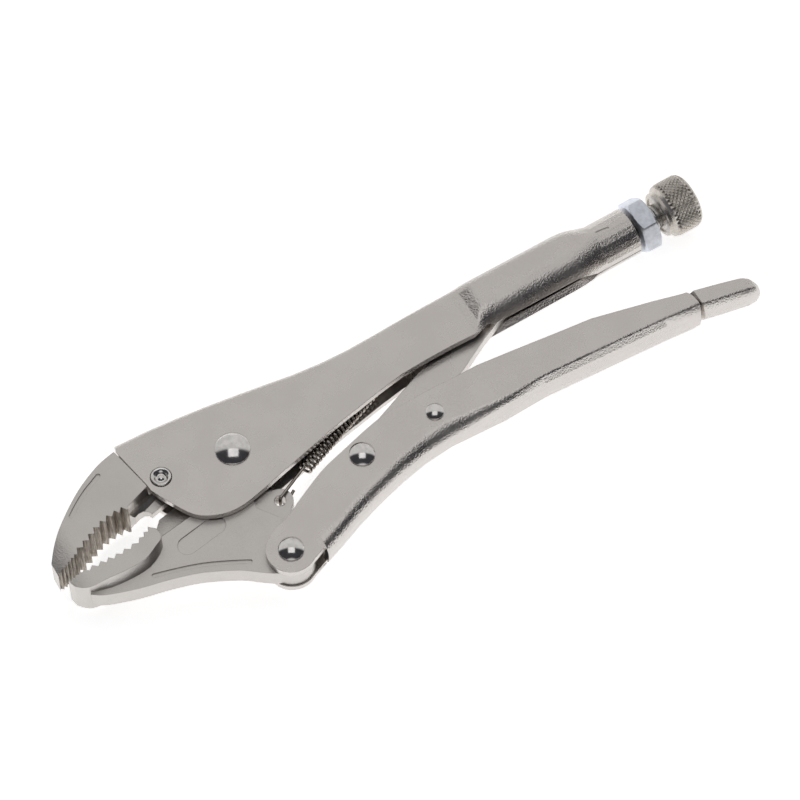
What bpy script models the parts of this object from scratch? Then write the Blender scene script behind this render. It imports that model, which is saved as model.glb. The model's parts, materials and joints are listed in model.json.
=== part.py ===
"""Locking pliers with curved jaws, a toggle linkage and a screw adjuster.

The pliers lie on their side. X runs along the adjusting screw from the jaws to the knob,
Y runs from the lower handle to the upper handle and Z is the thickness. Side outlines are
given in millimetres from the main pivot, where the drawing has its zero.
"""
import math

import bmesh
import bpy
from mathutils import Matrix, Vector

MM = 0.001
CREASE_RADIUS = 1.3             # a back radius up to this is a crease in the sheet
CREASE_TURN = 52
GAP = 0.25                      # clearance between neighbouring pieces

# Thickness of the pieces, as half widths from the middle plane
JAW_HALF = 8.25                 # toothed pads
BODY_HALF = 3.75                # forged body of both jaws, inside the channels
TAB_HALF = 2.9                  # spring tab of the lower jaw
LINK_HALF = 2.4
SHEET = 2.45                    # sheet of both handles
HANDLE_HALF = 6.5               # flat front of both handles

# Pivots, seen from the side
MAIN_PIVOT = (0.0, 0.0)
JAW_PIN = (-24.5, 3.4)
EAR_PIVOT = (-2.3, -40.4)
LINK_PIVOT = (34.2, -23.5)
LEVER_PIVOT = (61.8, -22.9)
SPRING_HOLE = (4.3, -22.3)

# Adjusting screw
SCREW_Y = 3.5
SCREW_R = 5.0
SCREW_TIP_X = 113.0
SCREW_END_X = 171.0
TUBE_R = 8.2
TUBE_START_X = 139.5
TUBE_END_X = 152.5
TUBE_WALL = 1.9
NUT_X = 153.8
NUT_LENGTH = 6.5
NUT_FLATS = 17.0
NUT_TURN = math.radians(24)
KNOB_X = 163.7
KNOB_END_X = 176.6
KNOB_R = 9.5

# Toggle link
LINK_LENGTH = 75.0
LINK_ANGLE = math.atan2(SCREW_Y - LINK_PIVOT[1], 70.0)

# The origin is the middle of the object's box, on the surface it lies on
JAW_TIP_X = -69.5
BACK_TOP_Y = 21.7
EYE_R = 8.2
PIVOT_X = -(JAW_TIP_X + KNOB_END_X) / 2
PIVOT_Y = -(BACK_TOP_Y + EAR_PIVOT[1] - EYE_R) / 2
PIVOT_Z = KNOB_R


def clear_scene():
    for item in list(bpy.data.objects):
        bpy.data.objects.remove(item, do_unlink=True)


def material(name, colour, roughness, metallic=1.0):
    mat = bpy.data.materials.new(name)
    mat.use_nodes = True
    shader = mat.node_tree.nodes["Principled BSDF"]
    shader.inputs["Base Color"].default_value = (*colour, 1.0)
    shader.inputs["Roughness"].default_value = roughness
    shader.inputs["Metallic"].default_value = metallic
    return mat


def place(name, bm, origin, mat=None, smooth=True):
    """Make a scene object of a bmesh drawn in millimetres from the main pivot."""
    bmesh.ops.remove_doubles(bm, verts=bm.verts, dist=1e-5)
    bmesh.ops.recalc_face_normals(bm, faces=bm.faces)
    bmesh.ops.translate(bm, verts=bm.verts, vec=(-origin[0], -origin[1], 0))
    bmesh.ops.scale(bm, verts=bm.verts, vec=(MM, MM, MM))
    mesh = bpy.data.meshes.new(name)
    bm.to_mesh(mesh)
    bm.free()
    if smooth:
        mesh.shade_smooth()
        mesh.set_sharp_from_angle(angle=math.radians(35))
    item = bpy.data.objects.new(name, mesh)
    item.location = ((PIVOT_X + origin[0]) * MM, (PIVOT_Y + origin[1]) * MM, PIVOT_Z * MM)
    bpy.context.scene.collection.objects.link(item)
    if mat:
        mesh.materials.append(mat)
    return item


def boolean(target, bm, origin, operation):
    """Add a Boolean modifier whose cutter is a bmesh in the same drawing."""
    cutter = place(f"{target.name}_cutter_{len(target.modifiers)}", bm, origin, smooth=False)
    cutter.hide_render = True
    cutter.display_type = "WIRE"
    modifier = target.modifiers.new(operation.title(), "BOOLEAN")
    modifier.operation = operation
    modifier.solver = "EXACT"
    modifier.object = cutter


def arc(centre, radius, start, end, steps):
    """Points on an arc, with its angles in degrees."""
    points = []
    for i in range(steps + 1):
        angle = math.radians(start + (end - start) * i / steps)
        points.append((centre[0] + radius * math.cos(angle), centre[1] + radius * math.sin(angle)))
    return points


def smooth_curve(points, steps=4):
    """Catmull-Rom curve through the points, without its last point."""
    result = []
    for i in range(len(points) - 1):
        before = Vector(points[max(i - 1, 0)])
        here = Vector(points[i])
        after = Vector(points[i + 1])
        beyond = Vector(points[min(i + 2, len(points) - 1)])
        for k in range(steps):
            t = k / steps
            value = 2 * here + (after - before) * t
            value += (2 * before - 5 * here + 4 * after - beyond) * t * t
            value += (3 * here - before - 3 * after + beyond) * t ** 3
            result.append(tuple(value / 2))
    return result


def prism(outline, low, high, bm=None):
    """Extrude a closed side outline from z = low to z = high."""
    bm = bm or bmesh.new()
    face = bm.faces.new([bm.verts.new((x, y, low)) for x, y in outline])
    extruded = bmesh.ops.extrude_face_region(bm, geom=[face])["geom"]
    moved = [v for v in extruded if isinstance(v, bmesh.types.BMVert)]
    bmesh.ops.translate(bm, verts=moved, vec=(0, 0, high - low))
    return bm


def round_pins(centres_and_radii, half_length, segments=40):
    """Cylinders along Z, in one bmesh, as a cutter for holes."""
    bm = bmesh.new()
    for centre, radius in centres_and_radii:
        outline = arc(centre, radius, 4, 364, segments)[:-1]
        prism(outline, -half_length, half_length, bm)
    return bm


def turned(profile, segments=48):
    """Solid of revolution about Z; the profile runs from axis to axis as (radius, height)."""
    bm = bmesh.new()
    verts = [bm.verts.new((radius, 0, height)) for radius, height in profile]
    edges = [bm.edges.new(pair) for pair in zip(verts, verts[1:])]
    bmesh.ops.spin(bm, geom=verts + edges, cent=(0, 0, 0), axis=(0, 0, 1), dvec=(0, 0, 0),
                   angle=math.tau, steps=segments, use_merge=True)
    bmesh.ops.remove_doubles(bm, verts=bm.verts, dist=1e-5)
    return bm


def along_screw(bm, start_x):
    """Turn a bmesh from the Z axis onto the screw axis, starting at start_x."""
    bmesh.ops.rotate(bm, verts=bm.verts, cent=(0, 0, 0), matrix=Matrix.Rotation(math.pi / 2, 3, "Y"))
    bmesh.ops.translate(bm, verts=bm.verts, vec=(start_x, SCREW_Y, 0))
    return bm


def rivet(name, centre, shank, head, head_height, half_width, mat):
    """Domed rivet through a channel: a shank with a spherical cap at each end."""
    top = half_width + GAP
    dome = (head ** 2 + head_height ** 2) / (2 * head_height)
    reach = math.asin(head / dome)
    cap = []
    for i in range(6):
        angle = reach * i / 6
        cap.append((dome * math.sin(angle), top + head_height - dome * (1 - math.cos(angle))))
    half = cap + [(head, top + 0.35), (head, top), (shank, top)]
    profile = [(radius, height) for radius, height in half]
    profile += [(radius, -height) for radius, height in reversed(half)]
    bm = turned(profile, 36)
    bmesh.ops.translate(bm, verts=bm.verts, vec=(*centre, 0))
    return place(name, bm, centre, mat)


def tooth_row(crest_line, pitch, depth):
    """Saw teeth along a crest line, as alternating crests and valleys."""
    points = []
    for start, end in zip(crest_line, crest_line[1:]):
        start, end = Vector(start), Vector(end)
        count = max(1, round((end - start).length / pitch))
        normal = Vector((-(end - start).y, (end - start).x)).normalized()
        for i in range(count):
            points.append(tuple(start.lerp(end, i / count)))
            points.append(tuple(start.lerp(end, (i + 0.55) / count) + normal * depth))
    points.append(tuple(crest_line[-1]))
    return points


def ribbon(points, width):
    """Outline of a round-ended band along a curve."""
    curve = [Vector(p) for p in points]
    left, right = [], []
    for i, point in enumerate(curve):
        ahead = curve[min(i + 1, len(curve) - 1)] - curve[max(i - 1, 0)]
        normal = Vector((-ahead.y, ahead.x)).normalized() * width / 2
        left.append(tuple(point + normal))
        right.append(tuple(point - normal))
    first = math.degrees(math.atan2(*(curve[1] - curve[0]).yx))
    last = math.degrees(math.atan2(*(curve[-1] - curve[-2]).yx))
    far_cap = arc(curve[-1], width / 2, last - 90, last + 90, 8)[1:-1]
    near_cap = arc(curve[0], width / 2, first + 90, first + 270, 8)[1:-1]
    return right + far_cap + left[::-1] + near_cap


def recess(outline, face_z, depth, both_sides=True):
    """Cutter for a shallow recess in one or both side faces."""
    bm = prism(outline, face_z - depth, face_z + 2)
    if both_sides:
        prism(outline, -face_z - 2, depth - face_z, bm)
    return bm


# ---------------------------------------------------------------- handles

def section(half, back, back_radius, bend_y, bend_radius, bend, flange, side, sheet):
    """Cross-section of a channel, from one lip round the back to the other.

    side is +1 for a back at +Y and -1 for a back at -Y. The result pairs each point of the
    outer surface with the point one sheet inside it.
    """
    bend = math.radians(bend)
    lip_z = half - bend_radius * (1 - math.cos(bend))
    lip_y = bend_y - side * bend_radius * math.sin(bend)
    direction = Vector((-side * math.cos(bend), -math.sin(bend)))
    inward = Vector((side * math.sin(bend), -math.cos(bend))) * sheet
    end = Vector((lip_y, lip_z)) + direction * flange
    path = [(end, end + inward)]
    steps = 6
    for i in range(steps + 1):
        angle = bend * (1 - i / steps)
        point = Vector((bend_y - side * bend_radius * math.sin(angle),
                        half - bend_radius * (1 - math.cos(angle))))
        path.append((point, point + Vector((side * math.sin(angle), -math.cos(angle))) * sheet))
    if back_radius > CREASE_RADIUS:
        for i in range(steps + 1):
            angle = math.pi / 2 * i / steps
            inward = Vector((-side * math.sin(angle), -math.cos(angle))) * sheet
            point = Vector((back - side * back_radius * (1 - math.sin(angle)),
                            half - back_radius * (1 - math.cos(angle))))
            path.append((point, point + inward))
    else:
        path += creased_corner(half, back, back_radius, side, sheet)
    mirror = Vector((1, -1))
    return path + [(p * mirror, q * mirror) for p, q in reversed(path)]


def creased_corner(half, back, tight, side, sheet):
    """A tight arc off the side face and then a wide arc to the middle of the back."""
    turn = math.radians(CREASE_TURN)
    wide = (half - tight * (1 - math.cos(turn))) / math.cos(turn)
    crease_y = back - side * (tight * math.sin(turn) + wide * (1 - math.sin(turn)))
    centre = Vector((crease_y, half - tight))
    middle = Vector((side * math.sin(turn / 2), math.cos(turn / 2)))
    inner = centre - middle * (sheet - tight) / math.cos(turn / 2)
    corner = []
    for i in range(4):
        angle = turn * i / 3
        normal = Vector((side * math.sin(angle), math.cos(angle)))
        corner.append((centre + normal * tight, inner + normal * 0.15))
    wide_centre = Vector((back - side * wide, 0))
    for i in range(1, 4):
        angle = turn + (math.pi / 2 - turn) * i / 3
        normal = Vector((side * math.sin(angle), math.cos(angle)))
        corner.append((wide_centre + normal * wide, wide_centre + normal * (wide - sheet)))
    return corner


def channel(stations, side, sheet_at):
    """Loft the cross-sections of a folded sheet into one closed body."""
    bm = bmesh.new()
    rings = []
    for x, *shape in stations:
        outer, inner = [], []
        for outside, inside in section(*shape, side, sheet_at(x)):
            outer.append(bm.verts.new((x, outside.x, outside.y)))
            inner.append(bm.verts.new((x, inside.x, inside.y)))
        rings.append(outer + inner[::-1])
    count = len(rings[0])
    for ring, following in zip(rings, rings[1:]):
        for i in range(count):
            k = (i + 1) % count
            bm.faces.new((ring[i], ring[k], following[k], following[i]))
    for ring in (rings[0], rings[-1]):
        half = count // 2
        for i in range(half - 1):
            bm.faces.new((ring[i], ring[i + 1], ring[count - 2 - i], ring[count - 1 - i]))
    bmesh.ops.remove_doubles(bm, verts=bm.verts, dist=1e-5)
    bmesh.ops.connect_verts_nonplanar(bm, angle_limit=math.radians(0.02), faces=bm.faces)
    return bm


def even_sheet(x):
    return SHEET


def upper_sheet(x):
    """The sheet is thinner where it is drawn into the tube."""
    blend = min(max((x - 131) / (TUBE_START_X - 131), 0), 1)
    return SHEET + (TUBE_WALL - SHEET) * blend


def upper_handle(mat):
    half = HANDLE_HALF
    deep = -24
    tube = SCREW_Y + TUBE_R
    stations = [
        (-36, half, 21.9, 3, deep, 3, 0, 0),
        (-20, half, 21.1, 3, deep, 3, 0, 0),
        (-10, half, 20.1, 3, deep, 3, 0, 0),
        (0, half, 18.9, 3, deep, 3, 0, 0),
        (10, half, 17.4, 3, -20, 3, 0, 0),
        (20, half, 15.8, 3, -13.2, 3, 0, 0),
        (30, half, 14.1, 3, -11.0, 3, 0, 0),
        (40, half, 12.95, 3, -8.9, 3, 0, 0),
        (50, half, 12.5, 3, -7.0, 3, 0, 0),
        (60, half, 12.65, 3, -5.5, 3, 0, 0),
        (70, half, 12.95, 3, -5.1, 3, 0, 0),
        (80, half, 13.1, 3, -5.1, 3, 0, 0),
        (88, half, 13.1, 3, -5.0, 3, 3, 0.3),
        (91, 6.9, 13.1, 3.2, -1.6, 5, 24, 1.6),
        (93.5, 7.9, 13.1, 3.8, 1.6, 6.8, 46, 0.8),
        (96, 8.3, 13.1, 4.2, 2.6, 8, 60, 0.2),
        (110, 8.4, 13.1, 4.5, 2.8, 8.2, 64, 0),
        (128, 8.4, 13.1, 5.0, 2.9, 8.2, 66, 0),
        (131, 8.4, 13.05, 5.5, 3.0, 8.2, 72, 0),
        (133.5, 8.4, 12.9, 6.4, 3.2, 8.2, 80, 0),
        (135.5, 8.3, 12.6, 7.4, 3.4, 8.2, 88, 0),
        (TUBE_START_X, TUBE_R, tube, TUBE_R, SCREW_Y, TUBE_R, 88.6, 0),
        (TUBE_END_X, TUBE_R, tube, TUBE_R, SCREW_Y, TUBE_R, 88.6, 0),
    ]
    handle = place("upper_handle", channel(stations, 1, upper_sheet), MAIN_PIVOT, mat)
    lobe = smooth_curve([(-29.6, 1), (-27, -5), (-22, -13.8), (-15, -18), (-8, -19), (0, -17.7),
                         (10, -15.4), (30, -10.8), (40, -8.8)], 4)
    outline = [(-31, 40), (-31.4, 21), (-32.3, 18.5), (-29.7, 3)] + lobe
    outline += [(40, -8.8), (44, -8.6), (60, -12), (200, -30), (200, 40)]
    boolean(handle, prism(outline, -20, 20), MAIN_PIVOT, "INTERSECT")
    holes = [(MAIN_PIVOT, 4.2), (JAW_PIN, 3.3 + GAP)]
    boolean(handle, round_pins(holes, 20), MAIN_PIVOT, "DIFFERENCE")
    slot = prism([(65.5, 8), (74, 8), (74, 16), (65.5, 16)], -2.2, 2.2)
    boolean(handle, slot, MAIN_PIVOT, "DIFFERENCE")
    tongue = prism([(63.6, 11.6), (63.6, 1.5), (65.8, 1.5), (65.8, 11.6)], -2, 2)
    boolean(handle, tongue, MAIN_PIVOT, "UNION")
    eye = prism([(60, 2.6), (70, 2.6), (70, 4.6), (60, 4.6)], -1, 1)
    boolean(handle, eye, MAIN_PIVOT, "DIFFERENCE")
    stake = recess(ribbon([(140.8, 4.9), (142.8, 4.7), (144.8, 4.4)], 0.7), TUBE_R, 0.5, False)
    boolean(handle, stake, MAIN_PIVOT, "DIFFERENCE")
    return handle


def lower_handle(mat):
    half = HANDLE_HALF
    stations = [
        (7.7, half, -46.7, 5, -20, 3, 0, 0),
        (15, half, -44.1, 5, -20, 3, 0, 0),
        (22.5, half, -41.1, 5, -18, 3, 0, 0),
        (32, half, -38.0, 5, -17, 3, 0, 0),
        (42.5, half, -35.2, 5, -15.2, 3, 0, 0),
        (52, half + 0.1, -33.4, 5.4, -14.9, 3, 0, 0),
        (62.5, half + 0.3, -32.7, 6, -15.15, 3, 0, 0),
        (72, 6.9, -32.6, 4.5, -20, 45, 6, 0),
        (82.5, 7.3, -32.5, 3.0, -24, 45, 11, 0),
        (98, 7.7, -33.2, 1.3, -26.5, 45, 11.6, 0),
        (110, 7.8, -34.0, 1.2, -27.0, 45, 10, 0),
        (122.5, 7.8, -34.85, 1.2, -27.8, 45, 9, 0),
        (142.5, 7.8, -36.25, 1.2, -29.2, 45, 4, 0),
        (152, 7.6, -37.2, 1.2, -30.4, 45, 2.2, 0),
        (155.5, 7.4, -37.2, 1.2, -30.3, 45, 1.2, 0),
    ]
    handle = place("lower_handle", channel(stations, -1, even_sheet), EAR_PIVOT, mat)
    top = smooth_curve([(7.5, -27.5), (20, -21.8), (30, -19), (40, -16.4), (47, -15.0)], 4)
    outline = [(7, -27.7), (7, -60), (151.5, -60)]
    outline += arc((149.5, -34), 5.8, -30, 0, 3) + arc((150.3, -32.3), 4.8, 0, 75, 4)
    outline += [(150, -20), (60, -8), (50, -13.8), (47, -15.0)] + top[::-1]
    boolean(handle, prism(outline, -20, 20), EAR_PIVOT, "INTERSECT")
    plate = arc(EAR_PIVOT, EYE_R, 110, 302, 20) + [(7.7, -45.1), (7.7, -41.7), (9.5, -41), (9.5, -26.6)]
    plate += [(7.5, -27.5), (5.5, -28.7), (1.5, -30.3), (-2.5, -31.4)]
    plates = prism(plate, half - SHEET, half)
    prism(plate, -half, SHEET - half, plates)
    boolean(handle, plates, EAR_PIVOT, "UNION")
    holes = [(EAR_PIVOT, 3.2), (LINK_PIVOT, 3.2), (LEVER_PIVOT, 2.2)]
    boolean(handle, round_pins(holes, 20), EAR_PIVOT, "DIFFERENCE")
    return handle


# ---------------------------------------------------------------- jaws

def nose_taper(bm, start_x, tip_x, tip_share):
    """Narrow the pad towards its tip, in an even curve."""
    cuts = 4
    for i in range(cuts):
        x = start_x + (tip_x - start_x) * i / cuts
        everything = bm.verts[:] + bm.edges[:] + bm.faces[:]
        bmesh.ops.bisect_plane(bm, geom=everything, dist=1e-5, plane_co=(x, 0, 0), plane_no=(1, 0, 0))
    for vert in bm.verts:
        share = min(max((start_x - vert.co.x) / (start_x - tip_x), 0), 1)
        vert.co.z *= 1 - (1 - tip_share) * share ** 2


def blade_cutter(line_start, line_end, section, face_z):
    """Cutter that leaves a blade: both sides are ground away beyond a section.

    The section runs from the line on the side face to the blade, as (offset in y, z).
    """
    bm = bmesh.new()
    last_y, last_z = section[-1]
    toward = 1 if last_y > 0 else -1
    ring = section + [(last_y + 3 * toward, last_z), (last_y + 3 * toward, face_z + 4),
                      (section[0][0], face_z + 4)]
    for side in (1, -1):
        ends = []
        for x, y in (line_start, line_end):
            ends.append([bm.verts.new((x, y + offset, side * z)) for offset, z in ring])
        first, last = ends
        bm.faces.new(first)
        bm.faces.new(last)
        for i in range(len(ring)):
            k = (i + 1) % len(ring)
            bm.faces.new((first[i], first[k], last[k], last[i]))
    return bm


def upper_jaw(mat):
    crest = [(JAW_TIP_X, -9.5), (-65.3, -8.4), (-61, -7.1)]
    coarse = smooth_curve([(-61, -7.1), (-55.4, -4.8), (-50.3, -2.5), (-45, -1.4), (-40, -1.6)], 1)
    teeth = tooth_row(crest, 1.4, 0.8)[:-1] + tooth_row(coarse + [(-40, -1.6)], 2.7, 1.6)
    neck = [(-38.9, -2.0), (-37.9, -2.85), (-36.3, -2.3), (-34.5, -2.2), (-33.1, -3.0), (-32.5, -4.25)]
    face = [(-30.4, -3.85), (-30.4, 3), (-33.2, 18.3)]
    top = smooth_curve([(-33.2, 18.3), (-40.5, 16.6), (-50.5, 11.8), (-60.5, 4.6), (-65.5, 0),
                        (-69.3, -4.6)], 4)
    outline = teeth + neck + face + top[1:] + [(-69.3, -4.6)]
    pad = prism(outline, -JAW_HALF, JAW_HALF)
    nose_taper(pad, -58, JAW_TIP_X, 0.68)
    jaw = place("upper_jaw", pad, MAIN_PIVOT, mat)
    tang = [(-36, 17), (-36, 0), (-32.4, 0), (-32.4, -4.23), (-24.7, -2.8), (-10.9, -1.2)]
    tang += arc(MAIN_PIVOT, 10.6, 175, 88, 14)
    tang += [(2, 10.7), (2, 15.6), (-12, 17.45), (-30, 18.9), (-34, 17.5)]
    boolean(jaw, prism(tang, -BODY_HALF, BODY_HALF), MAIN_PIVOT, "UNION")
    hollow = [(0, JAW_HALF + 0.1), (-0.4, 4.8), (-1.5, 2.9), (-3.1, 1.8), (-5.7, 1.5)]
    blade = blade_cutter((-39.3, -0.9), (-21, 5.2), hollow, JAW_HALF)
    boolean(jaw, blade, MAIN_PIVOT, "DIFFERENCE")
    boolean(jaw, round_pins([(JAW_PIN, 3.3 + GAP)], 20), MAIN_PIVOT, "DIFFERENCE")
    groove = smooth_curve([(-56, 5.6), (-52.1, 8.3), (-48.2, 10.6), (-44.3, 12.4), (-40.8, 13.9)], 3)
    boolean(jaw, recess(ribbon(groove, 1.5), JAW_HALF, 0.5), MAIN_PIVOT, "DIFFERENCE")
    return jaw


def drafted(point, most=1.5):
    """Move a point of the pad's lower edge outwards, for the forging's draft."""
    x, y = point
    share = min(max((x + 63) / 7, 0), 1) * min(max((-15.8 - y) / 2, 0), 1)
    outward = Vector((x + 50, y + 6)).normalized() * most * share
    return (x + outward.x, y + outward.y)


def stacked(levels):
    """Closed body through side outlines that have the same number of points."""
    bm = bmesh.new()
    rings = []
    for z, outline in levels:
        rings.append([bm.verts.new((x, y, z)) for x, y in outline])
    for low, high in zip(rings, rings[1:]):
        for i in range(len(low)):
            k = (i + 1) % len(low)
            bm.faces.new((low[i], low[k], high[k], high[i]))
    bm.faces.new(rings[0])
    bm.faces.new(rings[-1])
    bmesh.ops.connect_verts_nonplanar(bm, angle_limit=math.radians(0.02), faces=bm.faces)
    return bm


def lower_jaw(mat):
    low_line = smooth_curve([(-63.6, -19.6), (-59.3, -22.4), (-49.3, -25.9), (-39.3, -28.4),
                             (-29.3, -31.8), (-19.3, -37.1), (-14.3, -41), (-9.6, -44.6)], 3)
    ear = arc(EAR_PIVOT, 7.6, 218, 378, 16)
    rear = [(2, -29), (-3.6, -20.8), (-2.6, -15), (6, -8)]
    boss = arc(MAIN_PIVOT, 9.6, -45, 200, 26)
    edge = [(-22, -5.6), (-25.7, -6.1), (-31.7, -7.3), (-34, -9.8), (-36.5, -11.6)]
    body = low_line + ear + rear + boss + edge + [(-60, -15)]
    jaw = place("lower_jaw", prism(body, -BODY_HALF, BODY_HALF), MAIN_PIVOT, mat)
    crest = [(-37.3, -10.4), (-41.5, -12.3), (-44.5, -13.0), (-50.5, -13.3), (-56, -13.0), (-62, -12.6)]
    coarse = tooth_row(crest[::-1], 2.8, -1.3)
    fine = tooth_row([(-67.8, -13.1), (-62, -12.6)], 1.4, -0.6)[:-1]
    under = smooth_curve([(-35.3, -12.3), (-35.4, -15.8), (-38.5, -17.6), (-43.5, -19.8), (-50, -20.1),
                          (-56, -19.6), (-62.2, -19.2), (-65.1, -18.0), (-67.2, -15.8)], 3)
    top = fine + coarse + under + [(-67.2, -15.8)]
    foot = fine + coarse + [drafted(p) for p in under] + [(-67.2, -15.8)]
    pad = stacked([(-JAW_HALF, top), (-BODY_HALF, foot), (BODY_HALF, foot), (JAW_HALF, top)])
    nose_taper(pad, -57, -67.8, 0.84)
    boolean(jaw, pad, MAIN_PIVOT, "UNION")
    flat = [(0, BODY_HALF + 0.1), (0.3, 3.5), (6.4, 1.5)]
    blade = blade_cutter((-34.9, -13.9), (-20, -12.1), flat, BODY_HALF)
    boolean(jaw, blade, MAIN_PIVOT, "DIFFERENCE")
    tab = [(-4.5, -16), (2.5, -17.2)] + arc(SPRING_HOLE, 4.3, 80, -65, 12) + [(3.5, -30), (-4.5, -30)]
    boolean(jaw, prism(tab, -TAB_HALF, TAB_HALF), MAIN_PIVOT, "UNION")
    holes = [(MAIN_PIVOT, 4.2), (EAR_PIVOT, 3.2), (SPRING_HOLE, 1.9)]
    boolean(jaw, round_pins(holes, 20), MAIN_PIVOT, "DIFFERENCE")
    groove = smooth_curve([(-43.3, -24.3), (-35.8, -26.5), (-28.2, -29.2), (-20.4, -33.0), (-13.0, -37.2)], 3)
    boolean(jaw, recess(ribbon(groove, 1.4), BODY_HALF, 0.5), MAIN_PIVOT, "DIFFERENCE")
    label = ribbon([(-29.0, -20.8), (-23.3, -20.0), (-17.6, -19.2)], 6.4)
    boolean(jaw, recess(label, BODY_HALF, 0.4, False), MAIN_PIVOT, "DIFFERENCE")
    return jaw


# ---------------------------------------------------------------- link, lever and spring

def along_link(u, v):
    """Point at u along the toggle link and v to its upper side."""
    c, s = math.cos(LINK_ANGLE), math.sin(LINK_ANGLE)
    return (LINK_PIVOT[0] + u * c - v * s, LINK_PIVOT[1] + u * s + v * c)


def toggle_link(mat):
    nose_r = 4.0
    outline = arc((0, 0), 6, 125, 262, 12)
    outline += [(12, -5.0), (30, -4.0), (35, -4.6), (39, -6.1), (46, -6.0), (59, -4.6)]
    outline += arc((LINK_LENGTH, 0), nose_r, -95, 95, 12)
    outline += [(62, 4.8), (14, 5.0)]
    bm = prism([along_link(u, v) for u, v in outline], -LINK_HALF, LINK_HALF)
    link = place("toggle_link", bm, LINK_PIVOT, mat)
    boolean(link, round_pins([(LINK_PIVOT, 3.25)], 20), LINK_PIVOT, "DIFFERENCE")
    return link


def release_lever(mat):
    stations = [
        (54, 3.7, -29.0, 3.2, -16, 3, 0, 0),
        (66, 3.7, -29.0, 3.2, -16, 3, 0, 0),
        (80, 3.7, -29.2, 3.4, -16, 3, 0, 0),
        (102.5, 3.8, -30.4, 3.7, -16, 3, 0, 0),
        (122.5, 4.0, -31.8, 3.9, -16, 3, 0, 0),
        (142.5, 4.4, -33.1, 4.3, -20, 3, 0, 0),
        (153, 4.4, -33.9, 4.2, -20, 3, 0, 0),
        (155.6, 4.5, -34.2, 4.3, -20, 3, 0, 0),
        (156.6, 5.7, -36.5, 1.2, -20, 3, 0, 0),
        (162.6, 5.8, -37.9, 1.2, -22, 3, 0, 0),
        (168, 5.8, -39.0, 1.2, -22, 3, 0, 0),
        (172, 5.7, -39.9, 1.2, -22, 3, 0, 0),
        (174.6, 5.0, -39.9, 1.2, -24, 3, 0, 0),
        (176.0, 3.8, -39.2, 1.2, -26, 3, 0, 0),
        (176.6, 2.8, -38.4, 1.2, -26, 3, 0, 0),
    ]
    lever = place("release_lever", channel(stations, -1, lever_sheet), LEVER_PIVOT, mat)
    outline = arc(LEVER_PIVOT, 7.4, 250, 190, 4) + arc(LEVER_PIVOT, 4.6, 170, 62, 8)
    outline += [(68, -18.2), (71.5, -17.3), (75, -18.2), (80, -20.5), (100, -20.8), (120, -23.6)]
    outline += [(140, -26.3), (150, -27.6), (156.7, -28.9), (163.9, -30.8), (171.8, -33.0)]
    outline += arc((170.2, -39.1), 6.3, 75, -20, 8) + [(176.5, -60), (59, -60)]
    boolean(lever, prism(outline, -20, 20), LEVER_PIVOT, "INTERSECT")
    boolean(lever, round_pins([(LEVER_PIVOT, 2.2)], 20), LEVER_PIVOT, "DIFFERENCE")
    return lever


def lever_sheet(x):
    return 1.5


def spring_path():
    """Centre line of the spring's wire: tab hook, coil and the hook on the handle's tongue."""
    start = Vector((17.0, -15.6, 0))
    end = Vector((57.0, -0.4, 0))
    axis = (end - start).normalized()
    side = Vector((-axis.y, axis.x, 0))
    depth = Vector((0, 0, 1))
    hook_z = TAB_HALF + 0.95
    hole = Vector((SPRING_HOLE[0], SPRING_HOLE[1], 0))
    points = [hole + Vector((7.0, 3.5, 0.9 - hook_z)), hole + Vector((3.4, 1.7, -hook_z)),
              hole + Vector((0.6, 0.3, -hook_z * 0.92)), hole + Vector((0, 0, 0)),
              hole + Vector((0.3, 0.2, hook_z * 0.9)), hole + Vector((2.0, 1.1, hook_z))]
    turns, per_turn, coil_r = 25, 9, 1.95
    for i in range(turns * per_turn + 1):
        angle = math.tau * i / per_turn
        along = start.lerp(end, i / (turns * per_turn))
        points.append(along + (side * math.sin(angle) + depth * math.cos(angle)) * coil_r)
    points += [Vector((60.5, 2.2, 1.0)), Vector((63.0, 3.6, 0)), Vector((67.2, 3.6, 0)),
               Vector((67.6, 1.6, 0))]
    return points


def jaw_spring(mat):
    curve = bpy.data.curves.new("jaw_spring", "CURVE")
    curve.dimensions = "3D"
    curve.bevel_depth = 0.55 * MM
    curve.bevel_resolution = 0
    curve.use_fill_caps = True
    points = spring_path()
    spline = curve.splines.new("POLY")
    spline.points.add(len(points) - 1)
    for target, point in zip(spline.points, points):
        target.co = (*((point - Vector((*SPRING_HOLE, 0))) * MM), 1)
    item = bpy.data.objects.new("jaw_spring", curve)
    item.location = ((PIVOT_X + SPRING_HOLE[0]) * MM, (PIVOT_Y + SPRING_HOLE[1]) * MM, PIVOT_Z * MM)
    bpy.context.scene.collection.objects.link(item)
    curve.materials.append(mat)
    return item


# ---------------------------------------------------------------- adjuster

def adjusting_screw(mat):
    length = SCREW_END_X - SCREW_TIP_X
    profile = [(0, 0), (2.6, 0.3), (4.0, 1.2), (SCREW_R, 2.6), (SCREW_R, length - 0.8),
               (SCREW_R - 0.8, length), (0, length)]
    bm = along_screw(turned(profile, 40), SCREW_TIP_X)
    return place("adjusting_screw", bm, (SCREW_TIP_X, SCREW_Y), mat)


def adjusting_knob(mat):
    length = KNOB_END_X - KNOB_X
    bore = SCREW_R + GAP
    depth = SCREW_END_X - KNOB_X + GAP
    profile = [(0, length), (7.2, length), (8.4, length - 0.35), (9.2, length - 1.2),
               (KNOB_R, length - 2.4), (KNOB_R, 3.0), (9.1, 1.5), (8.2, 0.5), (7.0, 0),
               (6.2, 0), (bore, 0.8), (bore, depth), (0, depth)]
    return place("adjusting_knob", along_screw(turned(profile, 48), KNOB_X), (KNOB_X, SCREW_Y), mat)


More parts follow.
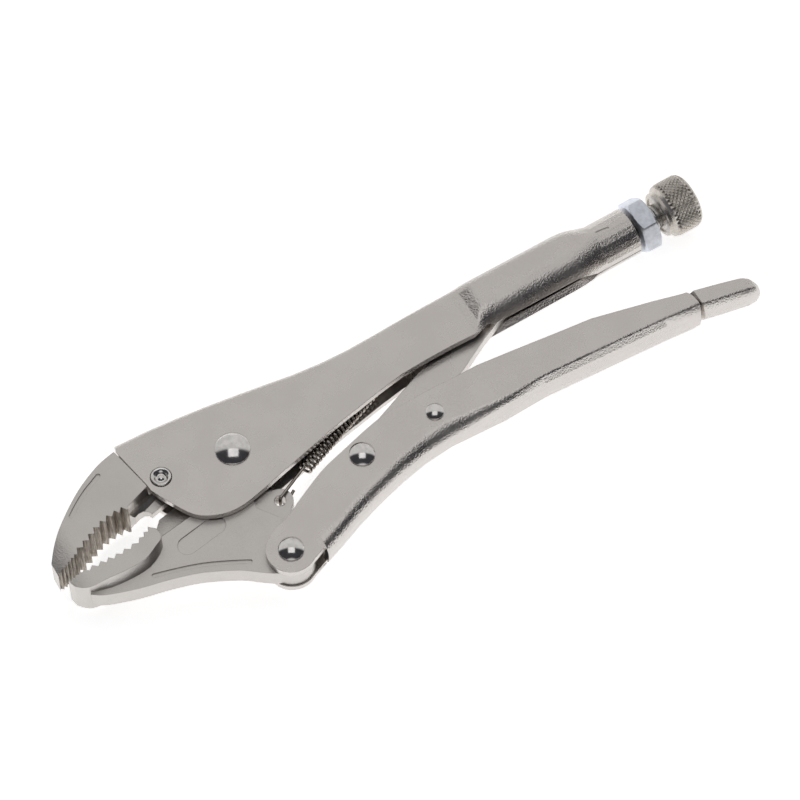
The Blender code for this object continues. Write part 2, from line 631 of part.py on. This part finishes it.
def lock_nut(mat):
    corner = NUT_FLATS / 2 / math.cos(math.pi / 6)
    bore = SCREW_R + GAP
    chamfer = 0.9
    profile = [(bore, 0), (corner - 1.4, 0), (corner, chamfer), (corner, NUT_LENGTH - chamfer),
               (corner - 1.4, NUT_LENGTH), (bore, NUT_LENGTH), (bore, 0)]
    nut = place("lock_nut", along_screw(turned(profile, 48), NUT_X), (NUT_X, SCREW_Y), mat)
    hexagon = []
    for i in range(6):
        angle = NUT_TURN + math.radians(60 * i)
        hexagon.append((-math.cos(angle) * corner, math.sin(angle) * corner))
    bm = along_screw(prism(hexagon, -1, NUT_LENGTH + 1), NUT_X)
    boolean(nut, bm, (NUT_X, SCREW_Y), "INTERSECT")
    return nut


def thread_insert(mat):
    outer = TUBE_R - TUBE_WALL - 0.2
    inner = SCREW_R + 0.2
    length = TUBE_END_X - TUBE_START_X - 0.8
    profile = [(inner, 0.4), (outer - 0.4, 0), (outer, 0.4), (outer, length), (inner, length), (inner, 0.4)]
    bm = along_screw(turned(profile, 40), TUBE_START_X + 0.5)
    return place("thread_insert", bm, (TUBE_START_X, SCREW_Y), mat)


def build():
    clear_scene()
    plate = material("nickel_plate", (0.62, 0.60, 0.57), 0.32)
    teeth = material("jaw_steel", (0.60, 0.58, 0.55), 0.36)
    polished = material("polished_rivet", (0.72, 0.71, 0.69), 0.12)
    wire = material("spring_wire", (0.22, 0.21, 0.20), 0.35)
    zinc = material("zinc_plate", (0.62, 0.65, 0.70), 0.28)
    nickel = material("knurled_nickel", (0.64, 0.62, 0.58), 0.30)
    steel = material("plain_steel", (0.50, 0.49, 0.48), 0.40)
    upper_handle(plate)
    lower_handle(plate)
    upper_jaw(teeth)
    lower_jaw(teeth)
    toggle_link(steel)
    release_lever(plate)
    jaw_spring(wire)
    adjusting_screw(steel)
    adjusting_knob(nickel)
    lock_nut(zinc)
    thread_insert(steel)
    rivet("main_pivot_rivet", MAIN_PIVOT, 4.0, 5.7, 2.1, HANDLE_HALF, polished)
    rivet("jaw_handle_rivet", EAR_PIVOT, 3.0, 4.2, 1.9, HANDLE_HALF, polished)
    rivet("link_rivet", LINK_PIVOT, 3.0, 4.2, 1.9, HANDLE_HALF, polished)
    rivet("release_lever_rivet", LEVER_PIVOT, 2.0, 2.9, 1.1, HANDLE_HALF + 0.35, polished)
    flush = HANDLE_HALF - 0.2
    dish = [(0, flush - 1.0), (1.6, flush - 0.9), (2.6, flush - 0.1), (3.3, flush)]
    profile = dish + [(radius, -height) for radius, height in reversed(dish)]
    bm = turned(profile, 32)
    bmesh.ops.translate(bm, verts=bm.verts, vec=(*JAW_PIN, 0))
    place("fixed_jaw_pin", bm, JAW_PIN, polished)


build()
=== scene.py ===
"""Looks of the locking pliers: nickel plate, knurl, threads, rivets and the coil spring.

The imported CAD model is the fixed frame. Sizes here are in millimetres in a drawing whose
zero is the main pivot, on the middle plane: X along the adjusting screw towards the knob,
Y towards the upper handle's back and Z through the thickness.
"""
import json
import math

import bmesh
import bpy
from mathutils import Matrix, Vector


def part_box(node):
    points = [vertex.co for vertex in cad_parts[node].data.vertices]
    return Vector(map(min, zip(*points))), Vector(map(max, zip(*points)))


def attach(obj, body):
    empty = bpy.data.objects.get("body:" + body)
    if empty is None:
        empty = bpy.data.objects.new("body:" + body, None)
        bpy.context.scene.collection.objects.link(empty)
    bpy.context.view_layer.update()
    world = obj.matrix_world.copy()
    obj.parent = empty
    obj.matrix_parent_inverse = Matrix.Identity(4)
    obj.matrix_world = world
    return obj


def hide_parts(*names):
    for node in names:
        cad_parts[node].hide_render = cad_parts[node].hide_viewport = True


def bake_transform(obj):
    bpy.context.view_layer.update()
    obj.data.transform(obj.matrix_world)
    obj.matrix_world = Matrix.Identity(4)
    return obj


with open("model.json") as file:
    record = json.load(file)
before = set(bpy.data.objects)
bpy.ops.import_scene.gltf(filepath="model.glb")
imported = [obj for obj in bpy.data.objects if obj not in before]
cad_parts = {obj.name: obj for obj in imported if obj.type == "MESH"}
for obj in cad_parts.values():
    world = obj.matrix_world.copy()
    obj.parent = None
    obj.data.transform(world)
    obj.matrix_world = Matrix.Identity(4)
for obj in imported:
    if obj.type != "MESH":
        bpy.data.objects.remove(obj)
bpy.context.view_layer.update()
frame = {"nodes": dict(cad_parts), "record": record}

MM = 0.001
PIVOT = (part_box("main_pivot_rivet")[0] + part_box("main_pivot_rivet")[1]) / 2
SCREW_Y = 3.5
SCREW_R = 5.0
HANDLE_HALF = 6.5
JAW_PIN = (-24.5, 3.4)
EAR_PIVOT = (-2.3, -40.4)
LINK_PIVOT = (34.2, -23.5)
LEVER_PIVOT = (61.8, -22.9)
SPRING_HOLE = (4.3, -22.3)
SPRING_START = (17.0, -15.6)
SPRING_END = (57.0, -0.4)
TAB_HALF = 2.9
SCREW_TIP_X = 113.0
SCREW_PITCH = 1.5
NUT_X = 153.8
NUT_LENGTH = 6.5
NUT_FLATS = 17.0
KNOB_X = 163.7
KNOB_END_X = 176.6
KNOB_R = 9.5
RIVET_RIM = 0.35


def at(x, y, z=0.0):
    """A drawing point in the frame's metres."""
    return PIVOT + Vector((x, y, z)) * MM


# ---------------------------------------------------------------- materials

def node(tree, kind, **inputs):
    """Add a node; a keyword is an input socket, and its value a constant or an output."""
    item = tree.nodes.new(kind)
    for name, value in inputs.items():
        socket = item.inputs[name.replace("_", " ")]
        if isinstance(value, bpy.types.NodeSocket):
            tree.links.new(value, socket)
        else:
            socket.default_value = value
    return item


def ramp(tree, value, stops):
    """Colour ramp through (position, grey or colour) stops."""
    item = tree.nodes.new("ShaderNodeValToRGB")
    tree.links.new(value, item.inputs["Fac"])
    elements = item.color_ramp.elements
    while len(elements) < len(stops):
        elements.new(0.5)
    for element, (position, colour) in zip(elements, stops):
        element.position = position
        if not isinstance(colour, tuple):
            colour = (colour, colour, colour)
        element.color = (*colour, 1.0)
    return item.outputs["Color"]


def mix(tree, factor, first, second, blend="MIX"):
    """Mix two colours, each a colour or an output."""
    item = tree.nodes.new("ShaderNodeMix")
    item.data_type = "RGBA"
    item.blend_type = blend
    for index, value in ((0, factor), (6, first), (7, second)):
        if isinstance(value, bpy.types.NodeSocket):
            tree.links.new(value, item.inputs[index])
        elif index == 0:
            item.inputs[0].default_value = value
        else:
            item.inputs[index].default_value = (*value, 1.0)
    return item.outputs[2]


def coordinates(tree, scale=(1, 1, 1)):
    """Object coordinates in millimetres, stretched by scale."""
    place = node(tree, "ShaderNodeTexCoord").outputs["Object"]
    mapping = node(tree, "ShaderNodeMapping", Vector=place)
    mapping.inputs["Scale"].default_value = [1000 * s for s in scale]
    return mapping.outputs["Vector"]


def new_material(name, metallic=1.0):
    """A node material with its tree and its Principled shader."""
    mat = bpy.data.materials.new(name)
    mat.use_nodes = True
    shader = mat.node_tree.nodes["Principled BSDF"]
    shader.inputs["Metallic"].default_value = metallic
    return mat, mat.node_tree, shader


def pressed_share(tree, flat=0.16):
    """Pebbles stand out where the sheet was bent, and the flat sides are almost smooth."""
    normal = node(tree, "ShaderNodeNewGeometry").outputs["Normal"]
    up = node(tree, "ShaderNodeSeparateXYZ", Vector=normal).outputs["Z"]
    size = node(tree, "ShaderNodeMath", Value=up)
    size.operation = "ABSOLUTE"
    return ramp(tree, size.outputs[0], [(0.10, 0.45), (0.60, 1.0), (0.97, 1.0), (0.9995, flat)])


def plated_metal(name, colour, roughness, pebble=0.9, pebble_size=0.55, grain=0.35, stain=0.5):
    """Satin plate over pressed or forged steel: soft pebbles, fine grit and faint stains."""
    mat, tree, shader = new_material(name)
    where = coordinates(tree)
    cloud = node(tree, "ShaderNodeTexNoise", Vector=where, Scale=0.07, Detail=4.0, Roughness=0.6)
    pebbles = node(tree, "ShaderNodeTexNoise", Vector=where, Scale=1 / pebble_size, Detail=1.5)
    grit = node(tree, "ShaderNodeTexNoise", Vector=where, Scale=4.5, Detail=2.0)
    dull = tuple(c * 0.90 for c in colour)
    clean = ramp(tree, cloud.outputs["Fac"], [(0.40, dull), (0.60, colour)])
    base = mix(tree, stain, colour, clean)
    speck = ramp(tree, grit.outputs["Fac"], [(0.32, 0.86), (0.56, 1.0)])
    base = mix(tree, 0.7, base, speck, "MULTIPLY")
    tree.links.new(base, shader.inputs["Base Color"])
    rough = ramp(tree, cloud.outputs["Fac"], [(0.35, roughness * 0.88), (0.65, roughness * 1.12)])
    tree.links.new(rough, shader.inputs["Roughness"])
    edge = node(tree, "ShaderNodeBevel", Radius=0.28 * MM)
    edge.samples = 4
    height = node(tree, "ShaderNodeMath", Value=pebbles.outputs["Fac"])
    height.operation = "MULTIPLY"
    tree.links.new(pressed_share(tree), height.inputs[1])
    soft = node(tree, "ShaderNodeBump", Height=height.outputs[0], Strength=pebble,
                Distance=0.22 * MM, Normal=edge.outputs["Normal"])
    sharp = node(tree, "ShaderNodeBump", Height=grit.outputs["Fac"], Strength=grain,
                 Distance=0.02 * MM, Normal=soft.outputs["Normal"])
    tree.links.new(sharp.outputs["Normal"], shader.inputs["Normal"])
    return mat


def ground_steel(name, light, dark, roughness, stretch=(2.6, 2.6, 0.16)):
    """Bare steel with the marks that a cutter leaves, long along the thickness."""
    mat, tree, shader = new_material(name)
    where = coordinates(tree, stretch)
    marks = node(tree, "ShaderNodeTexNoise", Vector=where, Scale=1.0, Detail=3.0, Roughness=0.65)
    cloud = node(tree, "ShaderNodeTexNoise", Vector=coordinates(tree), Scale=0.35, Detail=3.0)
    streak = ramp(tree, marks.outputs["Fac"], [(0.33, dark), (0.62, light)])
    shade = ramp(tree, cloud.outputs["Fac"], [(0.30, 0.72), (0.62, 1.0)])
    tree.links.new(mix(tree, 0.8, streak, shade, "MULTIPLY"), shader.inputs["Base Color"])
    rough = ramp(tree, marks.outputs["Fac"], [(0.3, roughness * 1.25), (0.7, roughness * 0.85)])
    tree.links.new(rough, shader.inputs["Roughness"])
    bump = node(tree, "ShaderNodeBump", Height=marks.outputs["Fac"], Strength=0.7, Distance=0.12 * MM)
    tree.links.new(bump.outputs["Normal"], shader.inputs["Normal"])
    return mat


def turned_metal(name, colour, roughness, grain=9.0, wave=0.25):
    """Smooth metal with a fine grain and cloudy dull patches."""
    mat, tree, shader = new_material(name)
    where = coordinates(tree)
    fine = node(tree, "ShaderNodeTexNoise", Vector=where, Scale=grain, Detail=2.0)
    cloud = node(tree, "ShaderNodeTexNoise", Vector=where, Scale=0.5, Detail=3.0)
    dull = tuple(c * 0.84 for c in colour)
    base = ramp(tree, cloud.outputs["Fac"], [(0.36, dull), (0.60, colour)])
    tree.links.new(base, shader.inputs["Base Color"])
    rough = ramp(tree, fine.outputs["Fac"], [(0.3, roughness * 0.8), (0.7, roughness * 1.2)])
    tree.links.new(rough, shader.inputs["Roughness"])
    bump = node(tree, "ShaderNodeBump", Height=fine.outputs["Fac"], Strength=wave, Distance=0.02 * MM)
    tree.links.new(bump.outputs["Normal"], shader.inputs["Normal"])
    return mat


def floor_material():
    """Pale matt floor that glows a little, so that it reads white."""
    mat, tree, shader = new_material("pale_floor", 0.0)
    cloud = node(tree, "ShaderNodeTexNoise", Vector=coordinates(tree), Scale=0.01, Detail=2.0)
    tone = ramp(tree, cloud.outputs["Fac"], [(0.3, 0.90), (0.7, 0.915)])
    tree.links.new(tone, shader.inputs["Base Color"])
    shader.inputs["Roughness"].default_value = 0.9
    shader.inputs["Specular IOR Level"].default_value = 0.1
    shader.inputs["Emission Color"].default_value = (1, 1, 1, 1)
    shader.inputs["Emission Strength"].default_value = 0.72
    return mat


NICKEL = plated_metal("satin_nickel", (0.70, 0.665, 0.635), 0.27)
FORGED = plated_metal("forged_nickel", (0.66, 0.63, 0.60), 0.33, pebble=0.5, pebble_size=0.5)
TEETH = ground_steel("ground_teeth", (0.52, 0.47, 0.41), (0.20, 0.17, 0.14), 0.42)
RIVETS = turned_metal("polished_rivets", (0.80, 0.78, 0.76), 0.14)
WIRE = turned_metal("spring_wire_plate", (0.46, 0.42, 0.38), 0.24, grain=3.0)
ZINC = turned_metal("blue_zinc", (0.80, 0.83, 0.90), 0.42, grain=3.0)
KNURL = turned_metal("knurled_nickel_plate", (0.62, 0.58, 0.53), 0.30, grain=2.5, wave=0.4)
STEEL = turned_metal("plain_thread_steel", (0.60, 0.59, 0.58), 0.28, grain=2.0)


# ---------------------------------------------------------------- pieces

def piece(name, bm, material, body, nodes, angle=35):
    """Make a mesh piece that rides on a body and stands for CAD nodes."""
    mesh = bpy.data.meshes.new(name)
    bm.to_mesh(mesh)
    bm.free()
    for mat in material if isinstance(material, list) else [material]:
        mesh.materials.append(mat)
    mesh.shade_smooth()
    mesh.set_sharp_from_angle(angle=math.radians(angle))
    item = bpy.data.objects.new(name, mesh)
    bpy.context.scene.collection.objects.link(item)
    if body:
        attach(item, body)
    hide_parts(*nodes)
    return item


def body_of(name):
    """The moving body that holds a CAD node."""
    bodies = frame["record"]["behaviour"]["bodies"]
    return next(body for body, members in bodies.items() if name in members)


def smooth_normals(mesh, sharp_angle):
    """Corner normals: flat faces stay flat, and bends blend only into each other.

    A corner averages the faces round its vertex that turn less than the sharp angle from its
    own face. Where one of them is a large flat face, the corner takes that face's normal, so
    that a bend runs off the flat without a shaded border.
    """
    limit = math.cos(math.radians(sharp_angle))
    large = 25 * MM * MM
    around = [[] for _ in mesh.vertices]
    for face in mesh.polygons:
        corners = [mesh.vertices[i].co for i in face.vertices]
        count = len(corners)
        for k, index in enumerate(face.vertices):
            a = corners[k - 1] - corners[k]
            b = corners[(k + 1) % count] - corners[k]
            spread = a.angle(b, 0.0)
            around[index].append((face.index, spread))
    normals = [face.normal.copy() for face in mesh.polygons]
    areas = [face.area for face in mesh.polygons]
    result = []
    for face in mesh.polygons:
        own = normals[face.index]
        for index in face.vertices:
            near = [(i, w) for i, w in around[index] if normals[i].dot(own) > limit]
            flats = [i for i, _ in near if areas[i] > large]
            if areas[face.index] > large:
                result.append(own)
            elif flats:
                result.append(normals[max(flats, key=lambda i: areas[i])])
            else:
                total = Vector((0, 0, 0))
                for i, weight in near:
                    total += normals[i] * weight
                result.append(total.normalized() if total.length > 1e-6 else own)
    mesh.normals_split_custom_set(result)


def refined(name, material, sharp_angle=33, is_tooth=None):
    """A CAD node's own shape with its flat faces made whole and its bends shaded evenly."""
    bm = bmesh.new()
    bm.from_mesh(frame["nodes"][name].data)
    bmesh.ops.remove_doubles(bm, verts=bm.verts, dist=0.004 * MM)
    for face in bm.faces:
        face.material_index = 0
    if is_tooth:
        for face in bm.faces:
            middle = (face.calc_center_median() - PIVOT) / MM
            face.material_index = int(is_tooth(middle, face.normal))
    bmesh.ops.dissolve_limit(bm, angle_limit=math.radians(0.4), verts=bm.verts, edges=bm.edges,
                             delimit={"MATERIAL"})
    item = piece(name + "_finished", bm, material, body_of(name), [name], 180)
    smooth_normals(item.data, sharp_angle)
    return item


def lathe(profile, centre, steps=48):
    """Turn (radius, height) points about Z, closed where the radius is zero."""
    bm = bmesh.new()
    rings = []
    for radius, height in profile:
        if radius < 1e-6:
            rings.append([bm.verts.new(at(centre[0], centre[1], height))])
            continue
        ring = []
        for i in range(steps):
            turn = math.tau * i / steps
            x = centre[0] + radius * math.cos(turn)
            y = centre[1] + radius * math.sin(turn)
            ring.append(bm.verts.new(at(x, y, height)))
        rings.append(ring)
    skin(bm, rings)
    return bm


def skin(bm, rings):
    """Join neighbouring rings with faces; a ring of one vertex is a tip."""
    for low, high in zip(rings, rings[1:]):
        count = max(len(low), len(high))
        for i in range(count):
            corners = []
            for ring, step in ((low, i), (low, i + 1), (high, i + 1), (high, i)):
                vert = ring[step % len(ring)]
                if vert not in corners:
                    corners.append(vert)
            if len(corners) > 2:
                bm.faces.new(corners)
    bmesh.ops.recalc_face_normals(bm, faces=bm.faces)


def dome(radius, rise, foot, rim=RIVET_RIM, steps=9):
    """Half profile of a domed rivet head standing on height foot."""
    points = [(radius - 0.25, foot - 0.4), (radius, foot - 0.1), (radius, foot + rim)]
    ball = (radius * radius + rise * rise) / (2 * rise)
    for i in range(1, steps + 1):
        across = radius * math.cos(math.pi / 2 * i / steps)
        points.append((across, foot + rim + math.sqrt(ball * ball - across * across) - ball + rise))
    return points


def rivet(name, centre, radius, rise, shank, foot):
    """A rivet seen as two domed heads on a shank."""
    head = dome(radius, rise, foot)
    inner = (shank, foot - 0.4)
    top = [inner] + head[:-1] + [(0, foot + RIVET_RIM + rise)]
    profile = [(r, -h) for r, h in reversed(top)] + top
    bm = lathe(profile, centre)
    return piece(name + "_turned", bm, RIVETS, body_of(name), [name], 50)


def dished_pin():
    """The fixed jaw's pin: a small flat rim round a deep dimple left by the punch."""
    half = [(3.3, 5.6), (3.3, 6.75), (3.15, 6.95), (2.85, 7.02), (2.45, 6.82), (2.0, 6.3), (1.6, 5.85),
            (1.25, 5.72), (1.0, 5.9), (0.6, 6.22), (0.0, 6.32)]
    profile = [(r, -h) for r, h in reversed(half)] + half
    bm = lathe(profile, JAW_PIN)
    return piece("fixed_jaw_pin_turned", bm, RIVETS, "frame", ["fixed_jaw_pin"], 60)


# ---------------------------------------------------------------- adjuster

def ring_along_screw(bm, x, radius, steps):
    """A ring of vertices square to the screw's axis; radius may be a function of the angle."""
    ring = []
    for i in range(steps):
        angle = math.tau * i / steps
        r = radius(angle) if callable(radius) else radius
        ring.append(bm.verts.new(at(x, SCREW_Y + r * math.cos(angle), r * math.sin(angle))))
    return ring


def knob():
    """Knurled knob: plain shoulder, diamond knurl and rounded end."""
    start, end, radius = KNOB_X, KNOB_END_X, KNOB_R
    diamonds = 37
    steps = diamonds * 2
    knurl_start, knurl_end, rows = 166.9, 175.1, 10
    depth = 0.42
    bm = bmesh.new()
    plain = [(6.2, 0.45), (6.2, 0.0), (7.1, 0.0), (7.6, 0.25), (7.8, 0.7), (7.8, 1.7), (8.3, 2.1),
             (9.0, 2.6)]
    rings = [[bm.verts.new(at(start + 0.45, SCREW_Y, 0))]]
    rings += [ring_along_screw(bm, start + x, r, steps) for r, x in plain]
    for j in range(rows + 1):
        x = knurl_start + (knurl_end - knurl_start) * j / rows
        edge = 0.35 if j in (0, rows) else 0.0
        ring = []
        for i in range(steps):
            angle = math.tau * i / steps
            r = radius - edge - (depth if (i + j) % 2 else 0.0)
            ring.append(bm.verts.new(at(x, SCREW_Y + r * math.cos(angle), r * math.sin(angle))))
        rings.append(ring)
    cap = [(8.75, end - 1.05), (8.45, end - 0.65), (7.9, end - 0.28), (7.0, end - 0.06), (6.0, end),
           (3.0, end)]
    rings += [ring_along_screw(bm, x, r, steps) for r, x in cap]
    rings.append([bm.verts.new(at(end, SCREW_Y, 0))])
    first = 1 + len(plain)
    for level, (low, high) in enumerate(zip(rings, rings[1:])):
        knurled = first <= level < first + rows
        for i in range(steps):
            a, b = low[i % len(low)], low[(i + 1) % len(low)]
            c, d = high[(i + 1) % len(high)], high[i % len(high)]
            if a == b:
                bm.faces.new((a, c, d))
            elif c == d:
                bm.faces.new((a, b, c))
            elif not knurled:
                bm.faces.new((a, b, c, d))
            elif (i + level - first) % 2:
                bm.faces.new((a, b, c))
                bm.faces.new((a, c, d))
            else:
                bm.faces.new((a, b, d))
                bm.faces.new((b, c, d))
    bmesh.ops.recalc_face_normals(bm, faces=bm.faces)
    return piece("adjusting_knob_knurled", bm, KNURL, "knob", ["adjusting_knob"], 14)


def thread():
    """M10 screw: a core with one helical ridge of 1.5 mm pitch."""
    tip, end, pitch, steps = SCREW_TIP_X, 164.4, SCREW_PITCH, 28
    root = 4.12
    bm = bmesh.new()
    core = [(0, tip), (2.4, tip + 0.15), (3.4, tip + 0.7), (root, tip + 1.5), (root, end), (0, end)]
    rings = []
    for r, x in core:
        if r:
            rings.append(ring_along_screw(bm, x, r, steps))
        else:
            rings.append([bm.verts.new(at(x, SCREW_Y, 0))])
    skin(bm, rings)
    ridge = bmesh.new()
    turns = (end - tip - 4.0) / pitch
    count = int(turns * steps)
    sections = []
    for k in range(count + 1):
        angle = math.tau * k / steps
        x = tip + 1.8 + pitch * k / steps
        height = min(1.0, k / steps, (count - k) / steps) * (SCREW_R - root - 0.03)
        shape = ((root - 0.15, -0.68), (root, -0.62), (root + height, -0.12),
                 (root + height, 0.12), (root, 0.62), (root - 0.15, 0.68))
        section = []
        for r, along in shape:
            place = at(x + along, SCREW_Y + r * math.cos(angle), r * math.sin(angle))
            section.append(ridge.verts.new(place))
        sections.append(section)
    for low, high in zip(sections, sections[1:]):
        for i in range(len(low)):
            after = (i + 1) % len(low)
            ridge.faces.new((low[i], low[after], high[after], high[i]))
    ridge.faces.new(sections[0])
    ridge.faces.new(sections[-1])
    bmesh.ops.recalc_face_normals(ridge, faces=ridge.faces)
    copy = bpy.data.meshes.new("ridge")
    ridge.to_mesh(copy)
    ridge.free()
    bm.from_mesh(copy)
    bpy.data.meshes.remove(copy)
    return piece("adjusting_screw_threaded", bm, STEEL, "screw", ["adjusting_screw"], 40)


def nut():
    """Hexagonal lock nut: chamfered corners on both faces and a countersunk bore."""
    start, length, flats, turn = NUT_X, NUT_LENGTH, NUT_FLATS, math.radians(6)
    corner = flats / 2 / math.cos(math.pi / 6)
    steps = 144

    def hexagon(angle):
        """Distance from the axis to the hexagon's side at this angle about the axis."""
        wedge = (angle - turn) % (math.pi / 3) - math.pi / 6
        return flats / 2 / math.cos(wedge)

    bm = bmesh.new()
    bore = SCREW_R + 0.12
    land, countersink = 7.9, 0.6
    slope = 0.55
    heights = [0.15, 0.3, 0.5, 0.7, 0.9, 1.1]
    rings = [ring_along_screw(bm, start + countersink, bore, steps)]
    rings += [ring_along_screw(bm, start, r, steps) for r in (bore + countersink, land)]
    for h in heights + [length - h for h in reversed(heights)]:
        edge = min(h, length - h)
        cone = 8.15 + edge / slope
        cone = min(cone, corner - 0.12)
        rings.append(ring_along_screw(bm, start + h, lambda a, c=cone: min(c, hexagon(a)), steps))
    rings.append(ring_along_screw(bm, start + length, land, steps))
    rings.append(ring_along_screw(bm, start + length, bore + countersink, steps))
    rings.append(ring_along_screw(bm, start + length - countersink, bore, steps))
    rings.append(rings[0])
    skin(bm, rings)
    return piece("lock_nut_hexagon", bm, ZINC, "nut", ["lock_nut"], 28)


# ---------------------------------------------------------------- spring

def spring_route():
    """Centre line of the spring's wire, as on the CAD spring but with rounder turns."""
    start, end = Vector((*SPRING_START, 0)), Vector((*SPRING_END, 0))
    axis = (end - start).normalized()
    side = Vector((-axis.y, axis.x, 0))
    hole = Vector((*SPRING_HOLE, 0))
    high = TAB_HALF + 0.95
    hook = [(7.0, 3.5, 0.9 - high), (3.4, 1.7, -high), (0.6, 0.3, -high * 0.92), (0, 0, 0),
            (0.3, 0.2, high * 0.9), (2.0, 1.1, high)]
    points = [hole + Vector(p) for p in hook]
    turns, per_turn, radius = 25, 18, 1.95
    coil = []
    for i in range(turns * per_turn + 1):
        angle = math.tau * i / per_turn
        ring = side * math.sin(angle) + Vector((0, 0, math.cos(angle)))
        coil.append(start.lerp(end, i / (turns * per_turn)) + ring * radius)
    tail = [Vector(p) for p in ((60.5, 2.2, 1.0), (63.0, 3.6, 0), (67.2, 3.6, 0), (67.6, 1.6, 0))]
    return rounded(points + [coil[0]])[:-1] + coil + rounded([coil[-1]] + tail)[1:]


def rounded(points, steps=5):
    """Catmull-Rom curve through the points."""
    result = []
    for i in range(len(points) - 1):
        before, here = points[max(i - 1, 0)], points[i]
        after, beyond = points[i + 1], points[min(i + 2, len(points) - 1)]
        for k in range(steps):
            t = k / steps
            value = 2 * here + (after - before) * t
            value += (2 * before - 5 * here + 4 * after - beyond) * t * t
            value += (3 * here - before - 3 * after + beyond) * t ** 3
            result.append(value / 2)
    return result + [points[-1]]


def spring():
    """Round wire swept along the route, with its end faces closed."""
    route = spring_route()
    wire, sides = 0.55, 8
    bm = bmesh.new()
    rings = []
    normal = Vector((0, 0, 1))
    for i, point in enumerate(route):
        ahead = (route[min(i + 1, len(route) - 1)] - route[max(i - 1, 0)]).normalized()
        normal = (normal - ahead * normal.dot(ahead)).normalized()
        across = ahead.cross(normal)
        ring = []
        for k in range(sides):
            turn = math.tau * k / sides
            place = point + (normal * math.cos(turn) + across * math.sin(turn)) * wire
            ring.append(bm.verts.new(at(*place)))
        rings.append(ring)
    skin(bm, rings)
    bm.faces.new(rings[0])
    bm.faces.new(rings[-1])
    bmesh.ops.recalc_face_normals(bm, faces=bm.faces)
    item = piece("jaw_spring_coiled", bm, WIRE, None, ["jaw_spring"], 60)
    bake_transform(item)
    return item


# ---------------------------------------------------------------- build

def upper_tooth(middle, normal):
    """Faces of the fixed jaw's teeth, which look down into the jaw's mouth."""
    return abs(normal.z) < 0.5 and -69 < middle.x < -39.5 and normal.y < -0.2 and middle.y < 0.5


def lower_tooth(middle, normal):
    """Faces of the moving jaw's teeth, which look up into the jaw's mouth."""
    return abs(normal.z) < 0.5 and -68 < middle.x < -37 and normal.y > 0.2 and middle.y > -14.8


def build_pliers():
    """Every visible piece: sheet and forged parts first, then turned parts and the spring."""
    refined("upper_handle", NICKEL)
    refined("lower_handle", NICKEL)
    refined("toggle_link", NICKEL)
    refined("release_lever", NICKEL)
    refined("upper_jaw", [FORGED, TEETH], 25, upper_tooth)
    refined("lower_jaw", [FORGED, TEETH], 25, lower_tooth)
    refined("thread_insert", STEEL)
    rivet("main_pivot_rivet", (0, 0), 5.7, 2.1, 4.0, HANDLE_HALF + 0.3)
    rivet("jaw_handle_rivet", EAR_PIVOT, 4.2, 1.9, 3.0, HANDLE_HALF + 0.3)
    rivet("link_rivet", LINK_PIVOT, 4.2, 1.9, 3.0, HANDLE_HALF + 0.3)
    rivet("release_lever_rivet", LEVER_PIVOT, 2.9, 1.1, 2.0, HANDLE_HALF + 0.65)
    dished_pin()
    knob()
    thread()
    nut()
    spring()


def add_camera():
    """Camera on the jaws' side, high over the tool's near edge."""
    axes = Matrix(((0.8533, 0.4677, -0.2306), (-0.5213, 0.7536, -0.4003), (-0.0135, 0.4618, 0.8869)))
    data = bpy.data.cameras.new("camera")
    data.lens = 225
    data.sensor_width = 36
    data.clip_end = 30
    camera = bpy.data.objects.new("camera", data)
    place = axes.to_4x4()
    place.translation = PIVOT + Vector((-0.31537, -0.65562, 1.42975))
    camera.matrix_world = place
    bpy.context.scene.collection.objects.link(camera)
    bpy.context.scene.camera = camera


def area_light(name, direction, distance, size, power):
    """Soft rectangular lamp that looks at the pliers from a direction."""
    data = bpy.data.lights.new(name, "AREA")
    data.shape = "RECTANGLE"
    data.size, data.size_y = size
    data.energy = power
    lamp = bpy.data.objects.new(name, data)
    aim = Vector(direction).normalized()
    lamp.location = aim * distance
    lamp.rotation_euler = aim.to_track_quat("Z", "Y").to_euler()
    lamp.visible_camera = False
    bpy.context.scene.collection.objects.link(lamp)


WALL = (0.66, 0.655, 0.65)
CEILING = (0.045, 0.045, 0.05)


def add_studio():
    """White sweep behind the pliers and low in front of them, with a dark ceiling between."""
    world = bpy.data.worlds.new("studio")
    world.use_nodes = True
    tree = world.node_tree
    place = node(tree, "ShaderNodeTexCoord").outputs["Generated"]
    behind = node(tree, "ShaderNodeVectorMath", Vector=place)
    behind.operation = "DOT_PRODUCT"
    behind.inputs[1].default_value = (0.499, 0.866, 0.0)
    share = node(tree, "ShaderNodeMapRange", Value=behind.outputs["Value"])
    share.inputs["From Min"].default_value = -1.0
    shade = ramp(tree, share.outputs["Result"], [
        (0.0, WALL), (0.055, WALL), (0.10, CEILING), (0.56, CEILING), (0.64, WALL), (1.0, WALL)])
    sky = tree.nodes["Background"]
    tree.links.new(shade, sky.inputs["Color"])
    sky.inputs["Strength"].default_value = 1.0
    bpy.context.scene.world = world


def add_stage():
    """Floor, overhead lamp and surroundings."""
    bm = bmesh.new()
    half = 3.0
    outline = ((-half, -half), (half, -half), (half, half), (-half, half))
    bm.faces.new([bm.verts.new((x, y, 0)) for x, y in outline])
    mesh = bpy.data.meshes.new("floor")
    bm.to_mesh(mesh)
    bm.free()
    mesh.materials.append(floor_material())
    floor = bpy.data.objects.new("floor", mesh)
    bpy.context.scene.collection.objects.link(floor)
    area_light("overhead", (-0.057, -0.098, 0.993), 1.3, (1.0, 0.8), 2.2)
    add_studio()
    bpy.context.scene.view_settings.view_transform = "Standard"


build_pliers()
add_camera()
add_stage()
